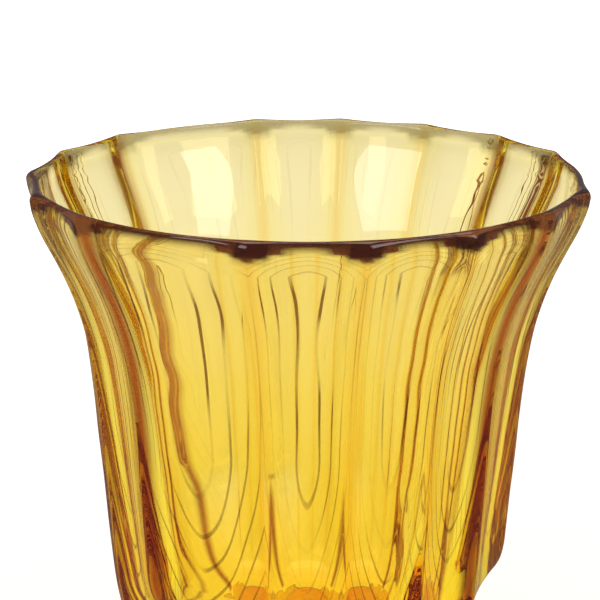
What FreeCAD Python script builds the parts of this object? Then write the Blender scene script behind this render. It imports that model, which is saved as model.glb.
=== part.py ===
import FreeCAD, Part
import math
import operator
import os

import Sketcher

# A flared vase of pressed amber glass in three pieces that were joined hot:
# a fluted bowl, a wafer under it and a round foot.
# The origin is the centre of the foot's ground underside, +Z points up,
# and +X points at the middle of one of the three wide panels.

# Driving sizes in millimetres, angles in degrees and counts, one spreadsheet row each.
SIZES = {
    "overall_height": 200,
    "mouth_radius": 87,
    "rim_round": 1,
    "neck_radius": 68.4,
    "flare_height": 76,
    "hip_radius": 65,
    "hip_height": 72,
    "seat_radius": 35,
    "sides": 3,
    "flutes_a_side": 4,
    "flute_angle": 20.8,
    "flute_depth": 2.9,
    "seat_flute_depth": 1.2,
    "ridge_land": 2.6,
    "mouth_wall": 2.1,
    "neck_wall": 3.9,
    "bore_belly_radius": 57.5,
    "bore_belly_height": 100,
    "floor_height": 36,
    "flat_reach": 52.4,
    "shoulder_height": 75,
    "cove_radius": 12.6,
    "wafer_radius": 30,
    "wafer_thickness": 6,
    "wafer_bulge": 2,
    "foot_radius": 56,
    "foot_height": 18,
    "foot_edge": 6,
    "foot_edge_chamfer": 2.5,
    "foot_top_radius": 34,
    "cut_overrun": 20,
}

# Curves as corners between their two ends: the share of the height gone, and of the radius gained.
# They are the ridge line from seat to hip and from neck to mouth, and the bore from floor to belly
# and from neck to mouth.
BELLY_SHARES = [(0.1, 0.32), (0.26, 0.66), (0.53, 0.89)]
FLARE_SHARES = [(0.25, 0.10), (0.46, 0.245), (0.63, 0.465), (0.77, 0.72), (0.89, 0.927)]
FLOOR_SHARES = [(0, 0.56), (0.16, 0.76)]
BORE_SHARES = [(0.46, 0.29)]

FULL_TURN = 360

doc = FreeCAD.newDocument("fluted_vase")
sheet = doc.addObject("Spreadsheet::Sheet", "sizes")
for row, (alias, value) in enumerate(SIZES.items(), start=1):
    sheet.set(f"A{row}", alias.replace("_", " "))
    sheet.set(f"B{row}", str(value))
    sheet.setAlias(f"B{row}", alias)
doc.recompute()


class Size:
    """A value together with the expression that binds it to the spreadsheet."""

    def __init__(self, text, value):
        self.text = text
        self.value = value

    def __add__(self, other):
        return combined(self, "+", other, operator.add)

    def __radd__(self, other):
        return combined(other, "+", self, operator.add)

    def __sub__(self, other):
        return combined(self, "-", other, operator.sub)

    def __rsub__(self, other):
        return combined(other, "-", self, operator.sub)

    def __mul__(self, other):
        return combined(self, "*", other, operator.mul)

    def __rmul__(self, other):
        return combined(other, "*", self, operator.mul)

    def __truediv__(self, other):
        return combined(self, "/", other, operator.truediv)

    def __rtruediv__(self, other):
        return combined(other, "/", self, operator.truediv)


def as_size(item):
    return item if isinstance(item, Size) else Size(str(item), item)


def combined(left, sign, right, work):
    left, right = as_size(left), as_size(right)
    return Size(f"({left.text} {sign} {right.text})", work(left.value, right.value))


def size(alias):
    return Size(f"sizes.{alias}", float(sheet.get(alias)))


def cosine(angle):
    return Size(f"cos({angle.text})", math.cos(math.radians(angle.value)))


def sine(angle):
    return Size(f"sin({angle.text})", math.sin(math.radians(angle.value)))


def arc_radius(half_chord, rise):
    """Radius of the arc that stands `rise` off a chord."""
    return (half_chord * half_chord + rise * rise) / (2 * rise)


def vector(point):
    return FreeCAD.Vector(point[0].value, point[1].value, 0)


def new_body(name):
    body = doc.addObject("PartDesign::Body", name)
    body.Label = name
    return body


def origin_feature(body, role):
    return next(item for item in body.Origin.OriginFeatures if item.Role == role)


def new_sketch(body, name, plane, height=None):
    sketch = body.newObject("Sketcher::SketchObject", name)
    sketch.AttachmentSupport = [(origin_feature(body, plane), "")]
    sketch.MapMode = "FlatFace"
    if height is not None:
        sketch.setExpression("AttachmentOffset.Base.z", height.text)
    return sketch


def draw_loop(sketch, corners, bends):
    """A closed outline through the corners, each corner and arc tied to the spreadsheet.

    bends holds, for each stretch, None for a line, or (centre, radius, turns_left) for an arc.
    """
    stretches = []
    for index, bend in enumerate(bends):
        here = vector(corners[index])
        there = vector(corners[(index + 1) % len(corners)])
        if bend is None:
            geometry = sketch.addGeometry(Part.LineSegment(here, there))
            stretches.append((geometry, 1, 2))
            continue
        centre, radius, turns_left = bend
        middle = vector(centre)
        circle = Part.Circle(middle, FreeCAD.Vector(0, 0, 1), radius.value)
        first, last = (here, there) if turns_left else (there, here)
        start = math.atan2(first.y - middle.y, first.x - middle.x)
        end = math.atan2(last.y - middle.y, last.x - middle.x)
        if end <= start:
            end += 2 * math.pi
        geometry = sketch.addGeometry(Part.ArcOfCircle(circle, start, end))
        stretches.append((geometry, 1, 2) if turns_left else (geometry, 2, 1))
    joins, driven = [], []
    for index, (geometry, start, end) in enumerate(stretches):
        follower = stretches[(index + 1) % len(stretches)]
        joins.append(Sketcher.Constraint("Coincident", geometry, end, follower[0], follower[1]))
        driven.append(("DistanceX", (geometry, start), corners[index][0]))
        driven.append(("DistanceY", (geometry, start), corners[index][1]))
        if bends[index] is not None:
            driven.append(("Radius", (geometry,), bends[index][1]))
    sketch.addConstraint(joins + [Sketcher.Constraint(kind, *place, value.value) for kind, place, value in driven])
    for index, (kind, place, value) in enumerate(driven, start=len(joins)):
        sketch.setExpression(f"Constraints[{index}]", value.text)


# The flutes: three sides, each a wide panel and then the narrow flutes, with a ridge between neighbours.
sides = size("sides")
flutes_a_side = size("flutes_a_side")
flute_angle = size("flute_angle")
side_angle = FULL_TURN / sides
panel_angle = side_angle - flutes_a_side * flute_angle
ridge_land = size("ridge_land")


def polar(radius, angle, aside=None):
    """The point at a radius and angle, or that far aside from it, square to the radius."""
    x, y = radius * cosine(angle), radius * sine(angle)
    if aside is None:
        return x, y
    return x - aside * sine(angle), y + aside * cosine(angle)


def fluted_section(body, name, height, crest, depth):
    """One level of the bowl: ridges with a narrow land, concave flutes, and wide panels coved at both ends."""
    sketch = new_sketch(body, name, "XY_Plane", height)
    floor = crest - depth
    half = flute_angle / 2
    end_reach = crest * cosine(half) + ridge_land / 2 * sine(half)
    half_chord = crest * sine(half) - ridge_land / 2 * cosine(half)
    radius = arc_radius(half_chord, end_reach - floor)
    centre_reach = floor + radius
    axis_point = (Size("0", 0.0), Size("0", 0.0))
    corners, bends = [], []
    for side in range(round(sides.value)):
        panel_start = side_angle * side - panel_angle / 2
        ridge = panel_start
        panel_end = panel_start + panel_angle
        corners += [polar(crest, ridge, ridge_land / -2), polar(crest, ridge, ridge_land / 2)]
        corners += [polar(floor, panel_start + half), polar(floor, panel_end - half)]
        bends += [None, (polar(centre_reach, panel_start + half), radius, False)]
        bends += [(axis_point, floor, True), (polar(centre_reach, panel_end - half), radius, False)]
        for flute in range(round(flutes_a_side.value)):
            ridge = panel_end + flute_angle * flute
            corners += [polar(crest, ridge, ridge_land / -2), polar(crest, ridge, ridge_land / 2)]
            bends += [None, (polar(centre_reach, ridge + half), radius, False)]
    draw_loop(sketch, corners, bends)
    return sketch


def turned(body, name, kind, sketch):
    """A revolution or groove of a sketch, right round the vertical axis."""
    feature = body.newObject(kind, name)
    feature.Profile = sketch
    feature.ReferenceAxis = (sketch, ["V_Axis"])
    feature.Angle = FULL_TURN
    sketch.Visibility = False
    return feature


# Heights and radii that several pieces share.
overall_height = size("overall_height")
mouth_radius = size("mouth_radius")
rim_round = size("rim_round")
neck_radius = size("neck_radius")
hip_radius = size("hip_radius")
hip_height = size("hip_height")
seat_radius = size("seat_radius")
foot_height = size("foot_height")
bowl_base = foot_height + size("wafer_thickness")
neck_height = overall_height - size("flare_height")
cut_overrun = size("cut_overrun")
flute_depth = size("flute_depth")
zero = Size("0", 0.0)


def ridge_levels():
    """Height, ridge radius and flute depth of each level, from the seat up to the rim."""
    seat_depth = size("seat_flute_depth")
    levels = [(bowl_base, seat_radius, seat_depth)]
    for height_share, radius_share in BELLY_SHARES:
        height = bowl_base + height_share * (hip_height - bowl_base)
        radius = seat_radius + radius_share * (hip_radius - seat_radius)
        levels.append((height, radius, seat_depth + radius_share * (flute_depth - seat_depth)))
    levels.append((hip_height, hip_radius, flute_depth))
    levels.append((neck_height, neck_radius, flute_depth))
    for height_share, radius_share in FLARE_SHARES:
        height = neck_height + height_share * (overall_height - neck_height)
        levels.append((height, neck_radius + radius_share * (mouth_radius - neck_radius), flute_depth))
    levels.append((overall_height - rim_round, mouth_radius, flute_depth))
    levels.append((overall_height, mouth_radius - rim_round, flute_depth))
    return levels


def make_bowl():
    """The fluted bowl: lofted outside, turned bore, and three flats with a coved shoulder low down."""
    body = new_body("fluted_bowl")
    sections = []
    for index, (height, crest, depth) in enumerate(ridge_levels()):
        sections.append(fluted_section(body, f"level_{index:02d}", height, crest, depth))
    wall = body.newObject("PartDesign::AdditiveLoft", "fluted_wall")
    wall.Profile = sections[0]
    wall.Sections = sections[1:]
    wall.Ruled = True

    flats = new_sketch(body, "flat_profile", "XZ_Plane")
    reach = size("flat_reach")
    cove = size("cove_radius")
    shoulder = size("shoulder_height")
    cove_foot = shoulder - cove
    outside = hip_radius + cut_overrun
    below = bowl_base - cut_overrun
    corners = [(reach, below), (outside, below), (outside, shoulder), (reach + cove, shoulder), (reach, cove_foot)]
    bends = [None, None, None, ((reach + cove, cove_foot), cove, True), None]
    draw_loop(flats, corners, bends)
    flat = body.newObject("PartDesign::Pocket", "flat")
    flat.Profile = flats
    flat.Midplane = True
    flat.setExpression("Length", (2 * (hip_radius + cut_overrun)).text)
    pattern = body.newObject("PartDesign::PolarPattern", "three_flats")
    pattern.Originals = [flat]
    pattern.Axis = (origin_feature(body, "Z_Axis"), [""])
    pattern.Angle = FULL_TURN
    pattern.setExpression("Occurrences", sides.text)
    body.Tip = pattern
    make_bore(body)
    return body


def curve(start, end, shares):
    """The corners between two (radius, height) points, by shares of height and radius."""
    corners = []
    for height_share, radius_share in shares:
        radius = start[0] + radius_share * (end[0] - start[0])
        corners.append((radius, start[1] + height_share * (end[1] - start[1])))
    return corners


def make_bore(body):
    """The inside of the bowl: a rounded floor, a plain belly and a flare that follows the flute floors."""
    mouth = (mouth_radius - flute_depth - size("mouth_wall"), overall_height)
    neck = (neck_radius - flute_depth - size("neck_wall"), neck_height)
    belly = (size("bore_belly_radius"), size("bore_belly_height"))
    floor = (zero, size("floor_height"))
    sketch = new_sketch(body, "bore_profile", "XZ_Plane")
    corners = [floor, *curve(floor, belly, FLOOR_SHARES), belly, neck]
    corners += curve(neck, mouth, BORE_SHARES)
    corners += [(mouth[0], mouth[1] - rim_round), (mouth[0] + rim_round, mouth[1])]
    above = overall_height + cut_overrun
    corners += [(mouth[0] + rim_round, above), (zero, above)]
    draw_loop(sketch, corners, [None] * len(corners))
    body.Tip = turned(body, "bore", "PartDesign::Groove", sketch)


def make_wafer():
    """The gather of glass that joins bowl and foot, squeezed out round its edge."""
    body = new_body("joining_wafer")
    sketch = new_sketch(body, "wafer_profile", "XZ_Plane")
    radius = size("wafer_radius")
    bulge = (radius + size("wafer_bulge"), (foot_height + bowl_base) / 2)
    corners = [(zero, foot_height), (radius, foot_height), bulge, (radius, bowl_base), (zero, bowl_base)]
    draw_loop(sketch, corners, [None] * len(corners))
    body.Tip = turned(body, "wafer", "PartDesign::Revolution", sketch)
    return body


def make_foot():
    """The round foot: ground flat below, a chamfered edge, and a top that rises to the wafer."""
    body = new_body("round_foot")
    sketch = new_sketch(body, "foot_profile", "XZ_Plane")
    radius = size("foot_radius")
    edge = size("foot_edge")
    rounding = size("foot_edge_chamfer")
    edge_top = (radius - rounding, edge + rounding)
    top = (size("foot_top_radius"), foot_height)
    corners = [(zero, zero), (radius, zero), (radius, edge), edge_top, top, (zero, foot_height)]
    draw_loop(sketch, corners, [None] * len(corners))
    body.Tip = turned(body, "foot", "PartDesign::Revolution", sketch)
    return body


def check(bodies):
    """Stops the build if any object failed or any piece isn't one valid solid."""
    for item in doc.Objects:
        if "Invalid" in item.State or "Error" in item.State:
            raise RuntimeError(f"{item.Name} failed: {item.State}")
    for body in bodies:
        shape = body.Shape
        if shape.isNull() or not shape.isValid() or len(shape.Solids) != 1:
            raise RuntimeError(f"{body.Label} isn't one valid solid")
        print(body.Label, f"{shape.Volume / 1000:.1f} cm3", shape.BoundBox)


pieces = [make_bowl(), make_wafer(), make_foot()]
doc.recompute()
check(pieces)
os.makedirs("parts", exist_ok=True)
for piece in pieces:
    piece.Shape.exportStep(f"parts/{piece.Label}.step")
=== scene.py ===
import math

import bpy
import numpy as np
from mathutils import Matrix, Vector


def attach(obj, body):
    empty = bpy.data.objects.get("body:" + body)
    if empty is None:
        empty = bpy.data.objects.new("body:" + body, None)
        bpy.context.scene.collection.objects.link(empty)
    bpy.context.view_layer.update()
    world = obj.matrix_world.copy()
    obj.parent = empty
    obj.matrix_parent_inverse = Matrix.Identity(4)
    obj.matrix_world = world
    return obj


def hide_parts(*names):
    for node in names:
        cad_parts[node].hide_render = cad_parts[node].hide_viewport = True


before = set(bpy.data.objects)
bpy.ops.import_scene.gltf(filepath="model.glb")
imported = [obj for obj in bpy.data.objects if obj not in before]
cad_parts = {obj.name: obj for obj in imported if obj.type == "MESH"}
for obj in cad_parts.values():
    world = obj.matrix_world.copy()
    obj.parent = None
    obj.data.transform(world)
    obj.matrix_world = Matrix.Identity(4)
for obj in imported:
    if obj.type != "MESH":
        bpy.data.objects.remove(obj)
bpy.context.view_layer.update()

MM = 0.001

# The bowl's ridge line, inside line and flute depths, as (height, radius or depth) in mm.
RIDGE_LINE = [
    (24, 34), (24.6, 37.5), (26, 40.8), (28.8, 45), (32.5, 50.3), (37, 55), (43, 59), (50, 61.9),
    (60, 63.8), (72.5, 64.95), (81, 65.6), (98.4, 66.7), (115, 68), (123.5, 68.5), (132, 69.15),
    (140.5, 69.95), (149, 71.05), (156.2, 72.3), (164, 74.35), (172, 77.1), (180, 80.6), (187, 83.9),
    (191.5, 85.6), (195, 86.6), (197.5, 86.95),
]
INSIDE_LINE = [
    (37.5, 33), (39.5, 38), (43, 42), (50, 45.4), (58, 47.8), (66, 49.6), (75, 52), (87, 54.9),
    (100, 57.3), (120, 60.6), (135, 62.7), (146, 64.4), (155, 66.5), (164, 69.1), (172, 72.2),
    (180, 75.9), (187, 79.2), (192, 81), (197.5, 81.95),
]
FLUTE_DEPTHS = [(24, 1.0), (40, 2.2), (60, 2.8), (80, 2.9), (197.5, 2.9)]

# The seat on the wafer has a fluted edge, and the rim's round bead dips between the ridges, in mm.
SEAT_HEIGHT = 24
SEAT_EDGE_RADIUS = 30
SEAT_EDGE_RISE = 0.2
SEAT_FLUTE_DEPTH = 0.7
RIM_HEIGHT = 197.5
RIM_TOP = 200
RIM_DIP = 0.4

# Profiles as (radius, height) in mm: the bowl's seat and the floor of its bore, the wafer and the foot.
SEAT_PROFILE = [(0, 24), (12, 24), (24, 24), (31, 24), (33.4, 24.15)]
BORE_FLOOR = [(33, 37.5), (30.8, 36.9), (27, 36.5), (20, 36.2), (10, 36.05), (0, 36)]
WAFER_PROFILE = [
    (0, 18.05), (24, 18.05), (29, 18.05), (30.4, 18.3), (31.4, 19.2), (31.9, 20.2), (32, 21),
    (31.9, 21.8), (31.4, 22.8), (30.4, 23.7), (29, 23.95), (24, 23.95), (0, 23.95),
]
FOOT_PROFILE = [
    (0, 0), (30, 0), (48, 0), (53.5, 0), (54.9, 0.35), (55.7, 1.1), (56, 2.2), (56, 5), (55.8, 6.3),
    (55.2, 7.4), (54.2, 8.2), (52.8, 8.8), (50.5, 9.5), (47.5, 10.5), (44.5, 11.7), (41.5, 13.1),
    (38.8, 14.6), (36.6, 16.1), (35.1, 17.3), (34, 17.8), (32.5, 18), (20, 18), (0, 18),
]

# Rows of the bowl's mesh as (start height, step), and the counts of its columns and of the rim's turns.
OUTSIDE_ROWS = [
    (24.6, 0.7), (26, 0.7), (31, 1.5), (50, 2), (61, 1), (69, 0.65), (84, 2.7), (150, 2), (192, 1),
]
INSIDE_ROWS = [(195.5, 2.9), (50, 1.2)]
INSIDE_END = 37.5
RIM_TURNS = 12
COLUMNS = 450
ROUND_COLUMNS = 192

# Measures on a mesh that differ by less than NEAR count as equal, and doubles are merged, in mm.
NEAR = 0.02
MERGE_DISTANCE = 0.002

# Each of the three sides is one wide panel and four narrow flutes. Angles in degrees.
SIDE_ANGLE = 120
PANEL_ANGLE = 36.8
FLUTE_ANGLE = 20.8

# Crests are softened by this share of the flutes' depth.
CREST_SOFTNESS = 0.16

# Points nearer the axis than this radius, in mm, take their share of the flutes from it.
LEAST_FLUTED_RADIUS = 20

# The coves cut in under the wide panels, in mm and degrees.
COVE_REACH = 52.4
COVE_RADIUS = 12.6
COVE_FOOT = 61.1
LEDGE_ANGLE = 52
COVE_BLEND = 2.6
BLEND_RAISE = 0.2
COVE_BLUR_ANGLE = 1.5
COVE_BLUR_HEIGHT = 1.2

# Where shade is painted into the glass's colour: on the rim's bead, in mm, and on the crest of every ridge,
# by its share, where the deeper orange also stands for the thicker glass.
TINT_FROM = 26
BEAD_BELOW = 0.9
BEAD_FADE = 0.5
RIDGE_TINT_SHARE = 0.35

# Ridges on the flanks get darker painted shade still, over a few degrees. A flank goes by the cosine of its
# angle from X.
EDGE_SHADE_ANGLE = 4.2
EDGE_SHADE_FADE = 3.2
EDGE_SHADE_SHIFT = 2
FLANK_FROM = 0.6
FLANK_TO = 0.87
FLANK_FADE = 0.05
FLANK_PAST = 0.25

# The thin dark lines painted into the glass's colour stand in for lines that refraction shows: nested loops
# on every flute, level lines of one field.
REFRACTION_LINE_CURVE = 1.6
REFRACTION_LINE_END_CURVE = 1.5
REFRACTION_LINE_BOTTOM = 130
REFRACTION_LINE_BOTTOM_SPAN = 52
REFRACTION_LINE_TOP = 190
REFRACTION_LINE_TOP_SPAN = 6
REFRACTION_LINE_GAP = 0.27
REFRACTION_LINE_SHARE = 0.15
REFRACTION_LINE_WANDER = 0.45
REFRACTION_LINE_STRETCH = (1, 1, 0.3)
WANDER_SCALE = 45.0
WANDER_DETAIL = 1.0
PATCH_SCALE = 80.0

# Where the painted refraction lines start in their field, and how strong they are by patches of noise.
REFRACTION_LINE_START = (0.03, 0.08)
REFRACTION_LINE_PATCHES = (0.36, 0.62)
PATCH_SHARE = 0.8
BARE_SHARE = 0.15

# How strong the painted refraction lines and the bead's painted shade are by depth and height. A pair is
# where a change starts and ends, in metres.
REFRACTION_LINE_TO_BACK = (-0.03, 0.02)
REFRACTION_LINE_BACK_LOSS = 0.85
REFRACTION_LINE_UPWARDS = (0.125, 0.16)
REFRACTION_LINE_LOW_SHARE = 0.85
REFRACTION_LINE_HIGH_GAIN = 0.4
REFRACTION_LINE_TO_RIM = (0.182, 0.193)
REFRACTION_LINE_RIM_LOSS = 0.6
BEAD_TO_BACK = (-0.02, 0.06)
BEAD_BACK_LOSS = 0.45

# To each side of its middle, a thin line is solid up to the first share of its width and gone at the second.
LINE_SOLID = 0.3
LINE_END = 0.6

# Colours of the glass, of its painted shade and painted refraction lines, and the waves that the mould left
# in it.
WALL_TINT = (0.97, 0.858, 0.53, 1)
RIDGE_TINT = (0.95, 0.66, 0.29, 1)
FLANK_SHADE_TINT = (0.15, 0.012, 0.001, 1)
REFRACTION_LINE_TINT = (0.09, 0.03, 0.008, 1)
BEAD_SHADE_TINT = (0.040, 0.005, 0.004, 1)
SHADOW_TINT = (0.95, 0.82, 0.42, 1)
DEPTH_TINT = (0.970, 0.915, 0.08, 1)
DEPTH_DENSITY = 130.0
GLASS_IOR = 1.51
WAVE_STRETCH = (1, 1, 0.35)
WAVE_SCALE = 32.0
WAVE_DISTANCE = 0.002
WAVE_STRENGTH = 0.3
NOISE_MIDDLE = 0.5

# The dark studio corners that the glass sees round the white floor. Angles in degrees.
STUDIO_DARK = (0.25, 0.08, 0.03, 1)
DARK_STRENGTH = 0.9
DARK_SECTOR = 16
SECTOR_EDGE = 1.5
SECTOR_WOBBLE = 7
BAND_GAP = 2.4
BAND_SHARE = 0.6
BAND_DEPTH = 0.6
LINE_SECTOR = 25
LINE_EDGE = 1
LINE_GAP = 3.1
LINE_SHARE = 0.16

# The ceiling is dark to the glass above these heights of a ray's direction, and lines sway on the way up.
CEILING = (0.16, 0.24)
ROOM_WOBBLE = 0.1

# The room's strength for plain light, and how it differs through glass and in reflections.
ROOM_STRENGTH = 0.4
ROOM_THROUGH_GAIN = 0.6
ROOM_MIRRORED_LOSS = 0.2
WHITE = (1, 1, 1, 1)

# The floor. Pairs are where a change starts and ends, by distance from the middle in metres.
FLOOR_SIZE = 8
FLOOR_DROP = 0.0005
FLOOR_COLOUR = (0.86, 0.86, 0.86, 1)
FLOOR_MIRRORED = (0.22, 0.20, 0.18, 1)
FLOOR_AWAY = (0.15, 1.0)
FLOOR_NEAR = (0.05, 0.17)
FLOOR_UNDER = (0.045, 0.075)
FLOOR_CORNERS = (0.35, 0.44)
FLOOR_WOBBLE_SCALE = 7.0
FLOOR_WOBBLE_DETAIL = 1.0

# The floor's own glow to light through glass and to the camera, and what distance adds to it.
THROUGH_GLOW = 0.36
THROUGH_GLOW_AWAY = 0.1
THROUGH_GLOW_NEAR = 0.2
THROUGH_GLOW_UNDER = 0.25
CAMERA_GLOW = 0.38
CAMERA_GLOW_AWAY = 0.52

# Softboxes as name, place, aimed height, width, height and power, in metres and watts.
SOFTBOXES = [
    ("softbox_left", (-0.9, -0.9, 1.1), 0.12, 0.7, 0.9, 7),
    ("softbox_right", (1.0, -0.7, 1.0), 0.12, 0.5, 0.9, 5),
    ("softbox_top", (0, 0.3, 1.6), 0.1, 1.2, 0.8, 6),
]

# The photograph's own viewpoint: place in metres, angles in degrees and lens in mm.
CAMERA_PLACE = (-0.00968, -0.47677, 0.3072)
CAMERA_DOWN = 17.39
CAMERA_TURN = -0.87
CAMERA_LENS = 94.7
SENSOR_WIDTH = 36
CLIP_START = 0.01

# Light crosses several walls of glass and turns many times inside their thick edges before it leaves.
MOST_BOUNCES = 32
MOST_TURNS = 24


def curve_through(points):
    """A smooth curve through (place, value) points that never overshoots them."""
    places = np.array([point[0] for point in points], float)
    values = np.array([point[1] for point in points], float)
    steps = np.diff(places)
    slopes = np.diff(values) / steps
    tangents = np.zeros(len(places))
    tangents[0] = slopes[0]
    tangents[-1] = slopes[-1]
    for i in range(1, len(places) - 1):
        if slopes[i - 1] * slopes[i] > 0:
            before = 2 * steps[i] + steps[i - 1]
            after = steps[i] + 2 * steps[i - 1]
            tangents[i] = (before + after) / (before / slopes[i - 1] + after / slopes[i])

    def value(place):
        place = np.clip(np.asarray(place, float), places[0], places[-1])
        i = np.clip(np.searchsorted(places, place, side="right") - 1, 0, len(steps) - 1)
        step = steps[i]
        along = (place - places[i]) / step
        return (
            (1 + 2 * along) * (1 - along) ** 2 * values[i]
            + along * (1 - along) ** 2 * step * tangents[i]
            + along * along * (3 - 2 * along) * values[i + 1]
            + along * along * (along - 1) * step * tangents[i + 1]
        )

    return value


ridge_line = curve_through(RIDGE_LINE)
inside_line = curve_through(INSIDE_LINE)
flute_depth = curve_through(FLUTE_DEPTHS)


def between_ridges(angle):
    """Degrees from an angle to the nearest ridge, and the width of its flute or panel."""
    along = (angle + PANEL_ANGLE / 2) % SIDE_ANGLE
    beyond = np.clip(along - PANEL_ANGLE, 0, None) % FLUTE_ANGLE
    on_panel = along < PANEL_ANGLE
    to_panel_ridge = np.minimum(along, PANEL_ANGLE - along)
    to_flute_ridge = np.minimum(beyond, FLUTE_ANGLE - beyond)
    nearest = np.where(on_panel, to_panel_ridge, to_flute_ridge)
    return nearest, np.where(on_panel, PANEL_ANGLE, FLUTE_ANGLE)


def flute_share(angle, radius, depth):
    """How deep the flutes are at an angle in degrees: 0 on a ridge, 1 in the middle of a flute."""
    half = FLUTE_ANGLE / 2
    from_middle = np.radians(np.clip(half - between_ridges(angle)[0], 0, half))
    floor = radius - depth
    reach = radius * math.cos(math.radians(half))
    half_chord = radius * math.sin(math.radians(half))
    rise = reach - floor
    arc = (half_chord**2 + rise**2) / (2 * rise)
    centre = floor + arc
    surface = centre * np.cos(from_middle) - np.sqrt(arc**2 - (centre * np.sin(from_middle)) ** 2)
    sharp = (radius - surface) / depth
    softened = np.sqrt(sharp**2 + CREST_SOFTNESS**2) - CREST_SOFTNESS
    return softened / (math.sqrt(1 + CREST_SOFTNESS**2) - CREST_SOFTNESS)


def fluted_radius(angle, height):
    """Radius of the outside with its flutes, before the coves are cut in."""
    depth = flute_depth(height)
    ridge = ridge_line(height)
    return ridge - depth * flute_share(angle, ridge, depth)


def cove_limit(angle, height):
    """How far out the coves under the wide panels let the glass reach."""
    turn = np.radians((angle + SIDE_ANGLE / 2) % SIDE_ANGLE - SIDE_ANGLE / 2)
    ledge = COVE_RADIUS * math.sin(math.radians(LEDGE_ANGLE))
    rise = np.clip(height - COVE_FOOT, 0, ledge)
    reach = COVE_REACH + COVE_RADIUS - np.sqrt(COVE_RADIUS**2 - rise**2)
    reach += np.clip(height - COVE_FOOT - ledge, 0, None) * math.tan(math.radians(LEDGE_ANGLE))
    return reach / np.cos(turn)


def soft_minimum(first, second):
    """The smaller of two radii, rounded where they are alike."""
    rounding = np.sqrt((first - second) ** 2 / 4 + COVE_BLEND**2)
    return (first + second) / 2 - rounding + COVE_BLEND * BLEND_RAISE


def cove_drop(angle, height):
    """How much the coves take off the fluted outside, softened over a small patch."""
    drops = []
    for turn in (-1, -0.5, 0, 0.5, 1):
        for lift in (-1, 0, 1):
            turned = angle + turn * COVE_BLUR_ANGLE
            lifted = height + lift * COVE_BLUR_HEIGHT
            fluted = fluted_radius(turned, lifted)
            coved = soft_minimum(fluted, cove_limit(turned, lifted))
            drops.append(fluted - np.minimum(coved, fluted))
    return np.mean(drops, axis=0)


def refraction_line_place(angle, height):
    """The field of the painted refraction lines: it rises from a flute's middle to its ridges and ends, in
    nested loops.
    """
    nearest, width = between_ridges(angle)
    across = (1 - nearest / (width / 2)) ** REFRACTION_LINE_CURVE
    bottom = np.clip((REFRACTION_LINE_BOTTOM - height) / REFRACTION_LINE_BOTTOM_SPAN, 0, None) ** REFRACTION_LINE_END_CURVE
    top = np.clip((height - REFRACTION_LINE_TOP) / REFRACTION_LINE_TOP_SPAN, 0, None) ** REFRACTION_LINE_END_CURVE
    return across + bottom + top


def flank_shade(angle):
    """Where shade is painted: 1 beside the ridges on the flanks, fading to 0 away from them and towards
    front and back.
    """
    sideways = np.cos(np.radians(angle))
    beside = between_ridges(angle + EDGE_SHADE_SHIFT * np.sign(sideways))[0]
    past = np.clip((np.abs(sideways) - FLANK_TO) / FLANK_FADE, 0, 1)
    flank = np.clip((np.abs(sideways) - FLANK_FROM) / FLANK_FADE, 0, 1) * (1 - past * FLANK_PAST)
    return flank * np.clip((EDGE_SHADE_ANGLE - beside) / EDGE_SHADE_FADE, 0, 1)


def deselect_all():
    bpy.ops.object.select_all(action="DESELECT")


def spun(name, profile, columns):
    """A closed round shell from a (radius, height) profile in mm that starts and ends on the axis."""
    deselect_all()
    start = (profile[0][0] * MM, 0, profile[0][1] * MM)
    bpy.ops.mesh.primitive_plane_add(size=MM, location=start)
    piece = bpy.context.active_object
    piece.name = name
    piece.data.name = name
    bpy.ops.object.transform_apply(location=True, rotation=True, scale=True)
    bpy.ops.object.mode_set(mode="EDIT")
    bpy.ops.mesh.select_all(action="SELECT")
    bpy.ops.mesh.merge(type="CENTER")
    for (radius, height), (next_radius, next_height) in zip(profile, profile[1:]):
        move = ((next_radius - radius) * MM, 0, (next_height - height) * MM)
        bpy.ops.mesh.extrude_vertices_move(TRANSFORM_OT_translate={"value": move})
    bpy.ops.mesh.select_all(action="SELECT")
    bpy.ops.mesh.spin(steps=columns, angle=2 * math.pi, center=(0, 0, 0), axis=(0, 0, 1))
    bpy.ops.mesh.select_all(action="SELECT")
    bpy.ops.mesh.remove_doubles(threshold=MERGE_DISTANCE * MM)
    bpy.ops.mesh.normals_make_consistent(inside=False)
    bpy.ops.object.mode_set(mode="OBJECT")
    bpy.ops.object.shade_smooth()
    return piece


def row_heights(rows, end):
    """Heights from (start, step) rows, each evenly spaced up to the next start, without the end."""
    heights = []
    for (start, step), stop in zip(rows, [row[0] for row in rows[1:]] + [end]):
        count = max(1, round(abs(stop - start) / step))
        heights += [start + (stop - start) * i / count for i in range(count)]
    return heights


def keep_share(piece, name, values):
    """Stores one number on every point, for the glass to read."""
    attribute = piece.data.attributes.new(name, "FLOAT", "POINT")
    attribute.data.foreach_set("value", values.astype(np.float32))


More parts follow.
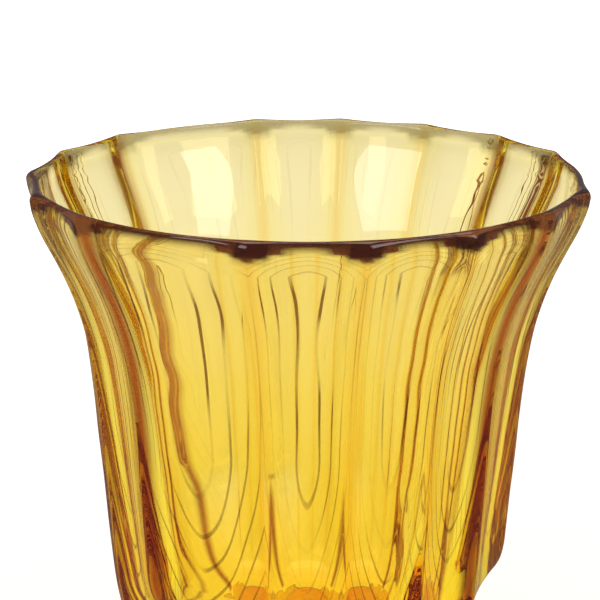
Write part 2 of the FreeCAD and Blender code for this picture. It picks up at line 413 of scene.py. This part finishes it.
def make_bowl():
    """The fluted bowl: a spun shell whose outside is then drawn in to flutes, panels and coves."""
    outer_radius = float(ridge_line(RIM_HEIGHT))
    inner_radius = float(inside_line(RIM_HEIGHT))
    middle = (outer_radius + inner_radius) / 2
    half = (outer_radius - inner_radius) / 2
    turns = [math.pi * i / RIM_TURNS for i in range(RIM_TURNS + 1)]
    outer = [(float(ridge_line(row)), row) for row in row_heights(OUTSIDE_ROWS, RIM_HEIGHT)]
    rim = [(middle + half * math.cos(turn), RIM_HEIGHT + half * math.sin(turn)) for turn in turns]
    inner = [(float(inside_line(row)), row) for row in row_heights(INSIDE_ROWS, INSIDE_END)]
    bowl = spun("fluted_bowl_glass", SEAT_PROFILE + outer + rim + inner + BORE_FLOOR, COLUMNS)

    flat = np.empty(len(bowl.data.vertices) * 3)
    bowl.data.vertices.foreach_get("co", flat)
    points = flat.reshape(-1, 3) / MM
    radius = np.hypot(points[:, 0], points[:, 1])
    angle = np.degrees(np.arctan2(points[:, 1], points[:, 0]))
    height = points[:, 2].copy()
    share = flute_share(angle, np.maximum(radius, LEAST_FLUTED_RADIUS), flute_depth(height))

    # Flutes, panels and coves on the outside, and the seat's own shallow flutes.
    on_rim = height >= RIM_HEIGHT - NEAR
    off_seat = height > SEAT_HEIGHT + SEAT_EDGE_RISE
    outside = ~on_rim & off_seat & (np.abs(radius - ridge_line(height)) < NEAR)
    new_radius = np.where(outside, fluted_radius(angle, height) - cove_drop(angle, height), radius)
    seat_edge = ~off_seat & (radius > SEAT_EDGE_RADIUS)
    new_radius = np.where(seat_edge, radius - share * SEAT_FLUTE_DEPTH, new_radius)

    # The rim is a round bead, as thick as the wall under it.
    thick = half - flute_depth(height) * share / 2
    rim_centre = RIM_TOP - RIM_DIP * share - thick
    rim_radius = inner_radius + thick + (radius - middle) * thick / half
    new_radius = np.where(on_rim, rim_radius, new_radius)
    points[:, 2] = np.where(on_rim, rim_centre + (height - RIM_HEIGHT) * thick / half, height)

    factor = np.where(radius > NEAR, new_radius / np.maximum(radius, NEAR), 1)
    points[:, :2] *= factor[:, None]
    bowl.data.vertices.foreach_set("co", (points * MM).ravel())

    # Shares that the glass reads for its colour: painted shade on the bead, the ridges and the flanks, and
    # the field of the painted refraction lines.
    bead_foot = rim_centre - thick - BEAD_BELOW
    tinted = outside & (height > TINT_FROM)
    keep_share(bowl, "rim_shade_share", np.clip((points[:, 2] - bead_foot) / BEAD_FADE, 0, 1))
    keep_share(bowl, "ridge_share", np.where(tinted, 1 - np.clip(share / RIDGE_TINT_SHARE, 0, 1), 0))
    keep_share(bowl, "flank_shade_share", np.where(tinted, flank_shade(angle), 0))
    keep_share(bowl, "refraction_line_place", np.where(tinted, refraction_line_place(angle, height), 0))
    bowl.data.update()
    return bowl


def make_wafer():
    return spun("joining_wafer_glass", WAFER_PROFILE, ROUND_COLUMNS)


def make_foot():
    return spun("round_foot_glass", FOOT_PROFILE, ROUND_COLUMNS)


class Wire:
    """One value socket; an expression on it adds its Math nodes."""

    def __init__(self, shader, socket):
        self.shader = shader
        self.socket = socket

    def math(self, operation, *others):
        node = self.shader.add("Math", {"operation": operation})
        for entry, value in zip(node.inputs, (self, *others)):
            self.shader.feed(entry, value)
        return Wire(self.shader, node.outputs[0])

    def __add__(self, other):
        return self.math("ADD", other)

    __radd__ = __add__

    def __mul__(self, other):
        return self.math("MULTIPLY", other)

    __rmul__ = __mul__

    def __sub__(self, other):
        return self.math("SUBTRACT", other)

    def __rsub__(self, other):
        return (self * -1) + other

    def above(self, low, high):
        """0 below low, 1 above high, and a smooth step between."""
        smooth = {"interpolation_type": "SMOOTHSTEP"}
        node = self.shader.add("MapRange", smooth, Value=self, From_Min=low, From_Max=high)
        return Wire(self.shader, node.outputs["Result"])


class Shader:
    """The node tree of a material or world, with one method that adds a node."""

    def __init__(self, owner):
        owner.use_nodes = True
        self.tree = owner.node_tree
        self.tree.nodes.clear()

    def add(self, kind, settings=None, **values):
        node = self.tree.nodes.new("ShaderNode" + kind)
        for key, value in (settings or {}).items():
            setattr(node, key, value)
        for key, value in values.items():
            self.feed(node.inputs[key.replace("_", " ")], value)
        return node

    def feed(self, entry, value):
        """Links a value or socket to an entry, or types a number or colour in it."""
        if isinstance(value, Wire):
            self.tree.links.new(value.socket, entry)
        elif isinstance(value, bpy.types.NodeSocket):
            self.tree.links.new(value, entry)
        else:
            entry.default_value = value

    def mix(self, share, first, second):
        node = self.add("Mix", {"data_type": "RGBA"})
        self.feed(node.inputs[0], share)
        self.feed(node.inputs[6], first)
        self.feed(node.inputs[7], second)
        return node.outputs[2]

    def blend(self, share, first, second):
        node = self.add("MixShader", Fac=share)
        self.feed(node.inputs[1], first)
        self.feed(node.inputs[2], second)
        return node.outputs[0]

    def wire(self, socket):
        return Wire(self, socket)

    def attribute(self, name):
        return self.wire(self.add("Attribute", {"attribute_name": name}).outputs["Fac"])

    def noise(self, place, scale, detail):
        return self.wire(self.add("TexNoise", Vector=place, Scale=scale, Detail=detail).outputs["Fac"])

    def axes(self, place):
        outputs = self.add("SeparateXYZ", Vector=place).outputs
        return [self.wire(outputs[name]) for name in "XYZ"]


def thin_lines(position, gap, share):
    """1 on a thin line in the middle of every gap, 0 between."""
    from_line = (position * (1 / gap)).math("FRACT").math("SUBTRACT", 0.5).math("ABSOLUTE")
    return 1 - from_line.above(share * LINE_SOLID, share * LINE_END)


def painted_refraction_lines(shader, place):
    """Thin dark lines painted into the glass's colour, standing in for the lines that refraction shows:
    clear at the front, faint at the back and under the rim.
    """
    field = shader.attribute("refraction_line_place")
    tall = shader.add("Mapping", Vector=place, Scale=REFRACTION_LINE_STRETCH).outputs["Vector"]
    wander = shader.noise(tall, WANDER_SCALE, WANDER_DETAIL) - NOISE_MIDDLE
    patches = shader.noise(tall, PATCH_SCALE, 0.0).above(*REFRACTION_LINE_PATCHES)
    depth, height = shader.axes(place)[1:]
    lines = thin_lines(field + wander * REFRACTION_LINE_WANDER, REFRACTION_LINE_GAP, REFRACTION_LINE_SHARE) * field.above(*REFRACTION_LINE_START)
    patchy = patches * PATCH_SHARE + BARE_SHARE
    front = 1 - depth.above(*REFRACTION_LINE_TO_BACK) * REFRACTION_LINE_BACK_LOSS
    upper = height.above(*REFRACTION_LINE_UPWARDS) * REFRACTION_LINE_HIGH_GAIN + REFRACTION_LINE_LOW_SHARE
    under_rim = 1 - height.above(*REFRACTION_LINE_TO_RIM) * REFRACTION_LINE_RIM_LOSS
    return lines * (patchy * front * upper * under_rim)


def amber_glass():
    """Amber pressed glass: its colour deepens with its thickness, and the mould left faint waves. Painted
    shade and painted refraction lines darken its base colour.
    """
    material = bpy.data.materials.new("amber_glass_pressed")
    shader = Shader(material)
    place = shader.add("TexCoord").outputs["Object"]
    stretched = shader.add("Mapping", Vector=place, Scale=WAVE_STRETCH).outputs["Vector"]
    waves = shader.noise(stretched, WAVE_SCALE, 0.0)
    bump = shader.add("Bump", Strength=WAVE_STRENGTH, Distance=WAVE_DISTANCE, Height=waves)

    # The ridges' crests are painted a deeper orange: partly the thicker glass's own colour, partly painted
    # shade.
    wall = shader.mix(shader.attribute("ridge_share"), WALL_TINT, RIDGE_TINT)
    # Painted shade: dark bands beside the ridges on the left and right flanks.
    shaded_flanks = shader.mix(shader.attribute("flank_shade_share"), wall, FLANK_SHADE_TINT)
    # Painted refraction lines: thin dark lines in the base colour.
    lined = shader.mix(painted_refraction_lines(shader, place), shaded_flanks, REFRACTION_LINE_TINT)
    depth = shader.axes(place)[1]
    # Painted shade on the rim's bead, darker at the front than at the back.
    bead = shader.attribute("rim_shade_share") * (1 - depth.above(*BEAD_TO_BACK) * BEAD_BACK_LOSS)
    colour = shader.mix(bead, lined, BEAD_SHADE_TINT)

    glass = shader.add(
        "BsdfPrincipled",
        Base_Color=colour,
        Roughness=0.0,
        IOR=GLASS_IOR,
        Normal=bump.outputs["Normal"],
        Transmission_Weight=1.0,
    )
    tint = shader.add("BsdfTransparent", Color=SHADOW_TINT).outputs[0]
    shadow = shader.add("LightPath").outputs["Is Shadow Ray"]
    surface = shader.blend(shadow, glass.outputs[0], tint)
    volume = shader.add("VolumeAbsorption", Color=DEPTH_TINT, Density=DEPTH_DENSITY).outputs[0]
    shader.add("OutputMaterial", Surface=surface, Volume=volume)
    return material


def ray_kinds(shader):
    """Whether a ray comes from the camera, has crossed glass, or was mirrored."""
    path = shader.add("LightPath").outputs
    camera = shader.wire(path["Is Camera Ray"])
    through = shader.wire(path["Is Transmission Ray"])
    mirrored = shader.wire(path["Is Glossy Ray"]) * (1 - through)
    return camera, through, mirrored


def dark_sectors(x, y, wobble):
    """The dark studio corners between four clear sides, with thin dark lines beside them."""
    quarter = (y.math("ARCTAN2", x) + 2 * math.pi).math("MODULO", math.pi / 2)
    from_corner = (quarter - math.pi / 4).math("ABSOLUTE") * math.degrees(1)
    wavy = from_corner + wobble * SECTOR_WOBBLE
    card = 1 - from_corner.above(DARK_SECTOR, DARK_SECTOR + SECTOR_EDGE)
    bands = thin_lines(wavy, BAND_GAP, BAND_SHARE)
    beside = 1 - from_corner.above(LINE_SECTOR - LINE_EDGE, LINE_SECTOR)
    lines = thin_lines(wavy, LINE_GAP, LINE_SHARE)
    return (card * (bands * BAND_DEPTH + (1 - BAND_DEPTH))).math("MAXIMUM", lines * beside)


def white_world():
    """A white room for the camera; glass sees its dark corners, and gloss a dimmer room."""
    world = bpy.data.worlds.new("white_room")
    bpy.context.scene.world = world
    shader = Shader(world)
    camera, through, mirrored = ray_kinds(shader)
    x, y, upward = shader.axes(shader.add("TexCoord").outputs["Generated"])
    dark = dark_sectors(x, y, upward * ROOM_WOBBLE).math("MAXIMUM", upward.above(*CEILING))
    lit = ROOM_STRENGTH + through * ROOM_THROUGH_GAIN - mirrored * ROOM_MIRRORED_LOSS
    strength = camera.math("MAXIMUM", lit)
    white = shader.add("Background", Color=WHITE, Strength=strength).outputs[0]
    warm = shader.add("Background", Color=STUDIO_DARK, Strength=DARK_STRENGTH).outputs[0]
    shader.add("OutputWorld", Surface=shader.blend(dark * through, white, warm))


def white_floor():
    """A pale floor, white to the camera, that keeps the vase's shadow."""
    deselect_all()
    bpy.ops.mesh.primitive_plane_add(size=FLOOR_SIZE, location=(0, 0, -FLOOR_DROP))
    floor = bpy.context.active_object
    floor.name = "floor"
    material = bpy.data.materials.new("pale_floor")
    shader = Shader(material)
    camera, through, mirrored = ray_kinds(shader)
    place = shader.add("TexCoord").outputs["Object"]
    length = shader.add("VectorMath", {"operation": "LENGTH"}, Vector=place)
    distance = shader.wire(length.outputs["Value"])

    # The floor glows by itself: to the glass more near and under the foot, to the camera more far away.
    away = distance.above(*FLOOR_AWAY)
    near = (1 - distance.above(*FLOOR_NEAR)) * THROUGH_GLOW_NEAR
    under = (1 - distance.above(*FLOOR_UNDER)) * THROUGH_GLOW_UNDER
    to_glass = away * THROUGH_GLOW_AWAY + near + under + THROUGH_GLOW
    glow = through * to_glass + camera * (away * CAMERA_GLOW_AWAY + CAMERA_GLOW)
    pale = shader.add("AddShader")
    shader.feed(pale.inputs[0], shader.add("BsdfDiffuse", Color=FLOOR_COLOUR).outputs[0])
    shader.feed(pale.inputs[1], shader.add("Emission", Color=WHITE, Strength=glow).outputs[0])

    x, y = shader.axes(place)[:2]
    wobble = shader.noise(place, FLOOR_WOBBLE_SCALE, FLOOR_WOBBLE_DETAIL) - NOISE_MIDDLE
    dark = dark_sectors(x, y, wobble) * distance.above(*FLOOR_CORNERS) * through
    dim = shader.add("Emission", Color=STUDIO_DARK, Strength=DARK_STRENGTH).outputs[0]
    grey = shader.add("Emission", Color=FLOOR_MIRRORED, Strength=1.0).outputs[0]
    seen = shader.blend(dark, pale.outputs[0], dim)
    shader.add("OutputMaterial", Surface=shader.blend(mirrored, seen, grey))
    floor.data.materials.append(material)


def softbox(name, place, aim, width, height, power):
    """An area lamp that faces a point on the vase's axis."""
    light = bpy.data.lights.new(name, "AREA")
    light.shape = "RECTANGLE"
    light.size = width
    light.size_y = height
    light.energy = power
    lamp = bpy.data.objects.new(name, light)
    bpy.context.scene.collection.objects.link(lamp)
    lamp.location = place
    lamp.rotation_euler = (Vector((0, 0, aim)) - Vector(place)).to_track_quat("-Z", "Y").to_euler()


def photo_camera():
    """The camera, at the photograph's own viewpoint."""
    camera = bpy.data.cameras.new("photo_camera")
    camera.sensor_width = SENSOR_WIDTH
    camera.lens = CAMERA_LENS
    camera.clip_start = CLIP_START
    holder = bpy.data.objects.new("photo_camera", camera)
    bpy.context.scene.collection.objects.link(holder)
    holder.location = CAMERA_PLACE
    holder.rotation_euler = (math.radians(90 - CAMERA_DOWN), 0, math.radians(CAMERA_TURN))
    bpy.context.scene.camera = holder


glass = amber_glass()
for make, node in ((make_bowl, "fluted_bowl"), (make_wafer, "joining_wafer"), (make_foot, "round_foot")):
    piece = make()
    piece.data.materials.append(glass)
    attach(piece, "root")
    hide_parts(node)

white_world()
white_floor()
for box in SOFTBOXES:
    softbox(*box)
photo_camera()

cycles = bpy.context.scene.cycles
cycles.max_bounces = MOST_BOUNCES
cycles.glossy_bounces = MOST_TURNS
cycles.transmission_bounces = MOST_TURNS
bpy.context.scene.view_settings.view_transform = "Standard"
